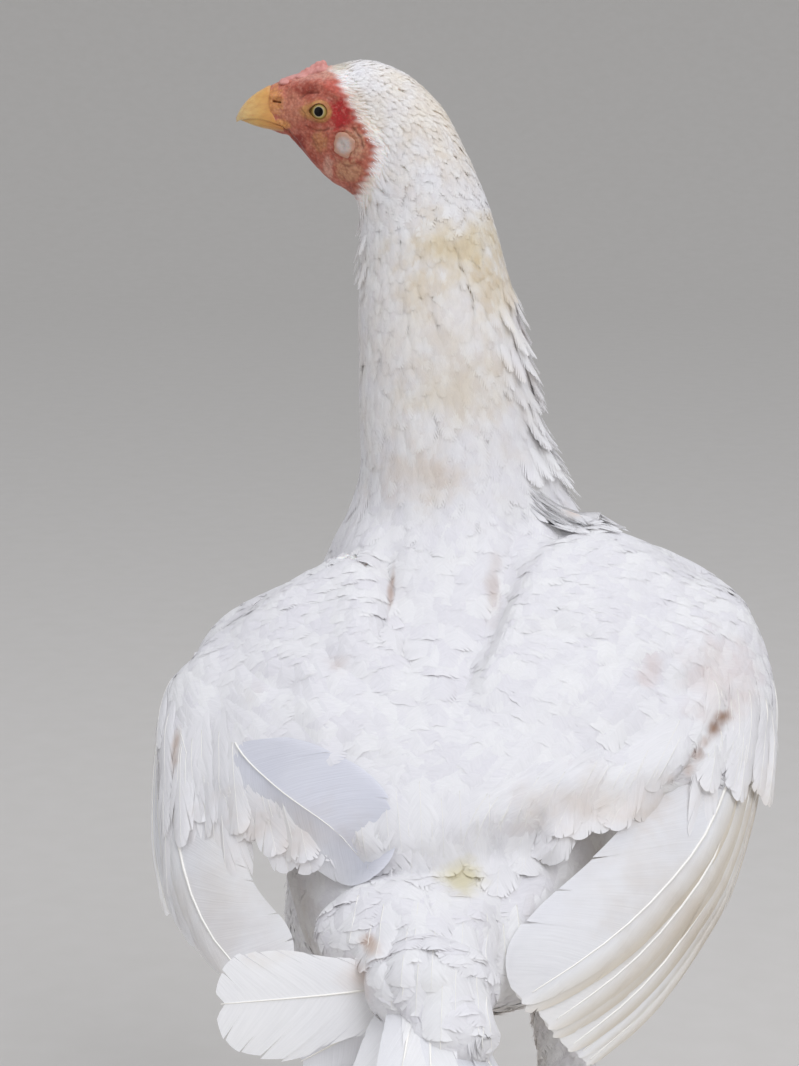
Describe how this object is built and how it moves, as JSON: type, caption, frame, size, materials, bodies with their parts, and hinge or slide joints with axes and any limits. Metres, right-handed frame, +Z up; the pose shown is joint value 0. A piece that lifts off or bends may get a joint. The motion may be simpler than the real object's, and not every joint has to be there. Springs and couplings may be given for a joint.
{
  "type": "aseel hen",
  "caption": "White game hen standing upright, wings half open and drooped, head turned to its left, life size",
  "frame": {"origin": "middle of the bounding box at floor level, between the feet", "axes": "+Z up, the body faces -Y, +X towards the bird's left, where its beak points"},
  "size_m": [0.2842, 0.3798, 0.5999],
  "materials": {
    "plumage": "soft white feathers",
    "skin": "bare wrinkled red skin",
    "lobe": "smooth pale skin",
    "beak": "smooth horn",
    "eye": "wet and glossy",
    "scale": "horny scales",
    "claw": "smooth horn"
  },
  "bodies": {
    "root": {"head": "skin", "eye_left": "eye", "eye_right": "eye", "comb": "skin", "earlobe_left": "lobe", "earlobe_right": "lobe", "beak_upper": "beak", "beak_lower": "beak", "neck": "plumage", "torso": "plumage", "wing_left": "plumage", "wing_right": "plumage", "primaries_left": "plumage", "primaries_right": "plumage", "tail": "plumage", "thigh_left": "plumage", "thigh_right": "plumage", "shank_left": "scale", "shank_right": "scale", "foot_left": "scale", "foot_right": "scale", "claw_left_inner": "claw", "claw_left_middle": "claw", "claw_left_outer": "claw", "claw_left_hind": "claw", "claw_right_inner": "claw", "claw_right_middle": "claw", "claw_right_outer": "claw", "claw_right_hind": "claw"}
  },
  "joints": []
}
